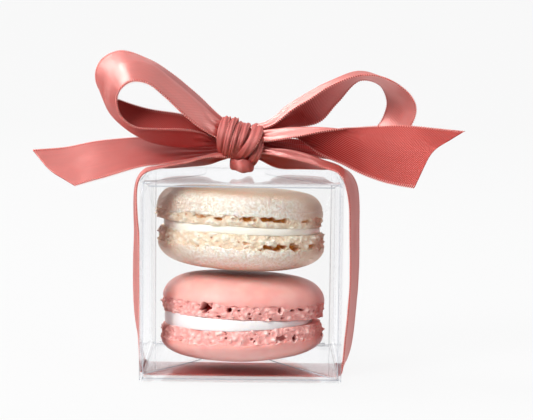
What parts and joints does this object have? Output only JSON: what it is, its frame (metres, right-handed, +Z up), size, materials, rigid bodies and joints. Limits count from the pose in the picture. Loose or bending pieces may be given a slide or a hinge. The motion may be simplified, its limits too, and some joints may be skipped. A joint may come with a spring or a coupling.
{
  "type": "box of macarons",
  "caption": "Clear folding gift box holding stacked macarons, tied round with a satin ribbon and a bow on top",
  "frame": {"origin": "on the ribbon's underside, where the whole rests, straight below the middle of the box", "axes": "+X runs along the bow to its right, the front faces -Y, +Z is up"},
  "size_m": [0.1109, 0.0508, 0.0831],
  "materials": {
    "clear_film": "clear glossy PET film",
    "pink_shell": "baked almond meringue, matte",
    "white_filling": "white buttercream",
    "cream_shell": "baked almond meringue with a pearl dusting",
    "ivory_filling": "ivory buttercream",
    "satin": "double faced satin, dusty rose"
  },
  "bodies": {
    "root": {"clear_box": "clear_film", "pink_bottom_shell": "pink_shell", "pink_filling": "white_filling", "pink_top_shell": "pink_shell", "cream_bottom_shell": "cream_shell", "cream_filling": "ivory_filling", "cream_top_shell": "cream_shell", "ribbon_knot": "satin", "ribbon_band": "satin", "left_loop": "satin", "right_loop": "satin", "left_tail": "satin", "right_tail": "satin"}
  },
  "joints": []
}
